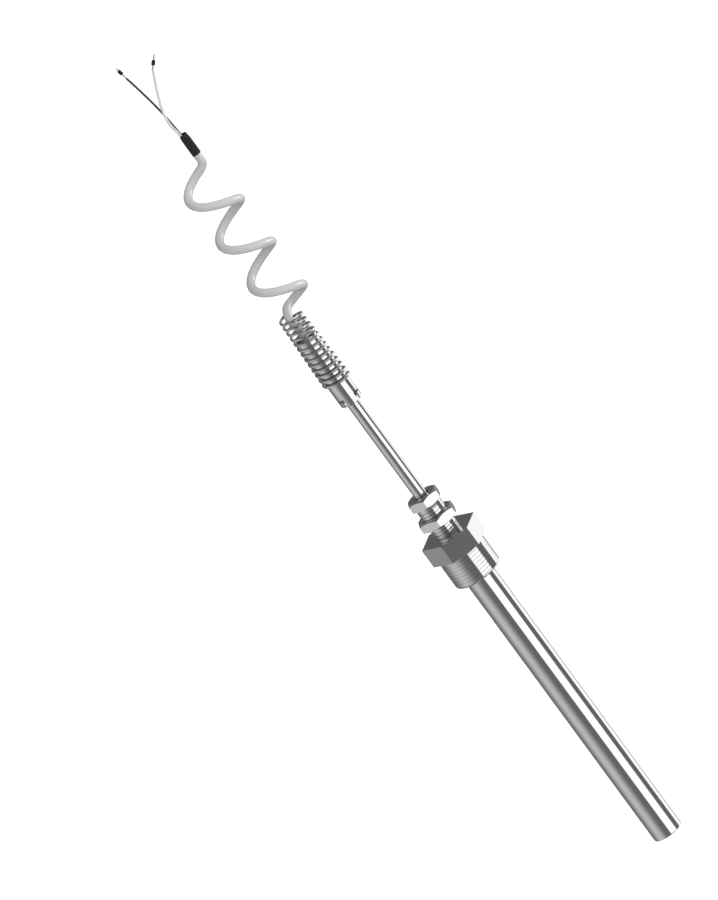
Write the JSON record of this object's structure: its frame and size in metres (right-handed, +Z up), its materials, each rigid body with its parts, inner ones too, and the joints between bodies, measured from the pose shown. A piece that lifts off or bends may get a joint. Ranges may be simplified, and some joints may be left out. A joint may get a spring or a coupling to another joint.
{
  "type": "rtd probe",
  "caption": "Polished resistance-thermometer probe with spring-loaded bayonet cap and curly cable, held by a gland screw in a screw-in protection tube.",
  "frame": {"origin": "on the probe's axis at the underside of the process hexagon, where the process thread starts", "axes": "+Z up the probe's axis towards the cable, -Z along the process thread towards the tube's tip, X through two corners of the process hexagon"},
  "size_m": [0.0404, 0.0286, 0.4964],
  "materials": {
    "polished_steel": "polished stainless steel",
    "spring_wire": "bright drawn stainless spring wire",
    "packing": "white sealing compound",
    "ceramic": "matt fired ceramic",
    "potting": "black potting resin",
    "lead_metal": "bare drawn wire",
    "cable_jacket": "light grey satin cable jacket",
    "black_sleeve": "black satin sleeve",
    "dark_insulation": "dark brown-black insulation",
    "white_insulation": "white insulation",
    "tinned_wire": "tinned copper"
  },
  "bodies": {
    "well": {"process_bushing": "polished_steel", "protection_tube": "polished_steel", "packing_ring": "packing"},
    "gland_follower": {"follower_ring": "polished_steel"},
    "gland": {"gland_screw": "polished_steel"},
    "nut": {"lock_nut": "polished_steel"},
    "probe": {"probe_sheath": "polished_steel", "sheath_tip": "polished_steel", "sensing_element": "ceramic", "insulator_rod": "ceramic", "potting_seal": "potting", "inner_lead_left": "lead_metal", "inner_lead_right": "lead_metal", "stem_collar": "polished_steel", "load_spring": "spring_wire", "transition_ferrule": "polished_steel", "cable_tail": "cable_jacket", "cable_coil": "cable_jacket", "cable_top": "cable_jacket", "heat_shrink": "black_sleeve", "dark_lead": "dark_insulation", "dark_lead_core": "tinned_wire", "dark_lead_collar": "black_sleeve", "white_lead": "white_insulation", "white_lead_core": "tinned_wire", "white_lead_collar": "black_sleeve"},
    "cap_seat": {"thrust_washer": "polished_steel"},
    "cap": {"bayonet_cap": "polished_steel", "strain_relief_spring": "spring_wire"}
  },
  "joints": [
    {"name": "probe_slide", "type": "slide", "parent": "well", "child": "probe", "axis": [0, 0, 1], "range_m": [0, 0.15]},
    {"name": "gland_lift", "type": "slide", "parent": "well", "child": "gland_follower", "axis": [0, 0, 1], "range_m": [0, 0.006]},
    {"name": "gland_turn", "type": "hinge", "parent": "gland_follower", "child": "gland", "pos_m": [0, 0, 0], "axis": [0, 0, 1], "range_deg": [0, 1080]},
    {"name": "lock_nut_turn", "type": "hinge", "parent": "gland", "child": "nut", "pos_m": [0, 0, 0.02], "axis": [0, 0, 1], "continuous": true},
    {"name": "cap_push", "type": "slide", "parent": "probe", "child": "cap_seat", "axis": [0, 0, -1], "range_m": [0, 0.006], "stiffness_N_per_m": 600, "springref_m": -0.004, "deforming": ["load_spring"]},
    {"name": "cap_turn", "type": "hinge", "parent": "cap_seat", "child": "cap", "pos_m": [0, 0, 0.12], "axis": [0, 0, 1], "continuous": true}
  ],
  "couplings": [
    {"joint": "gland_turn", "follows": "gland_lift", "rad_per_m": 3141.6}
  ]
}
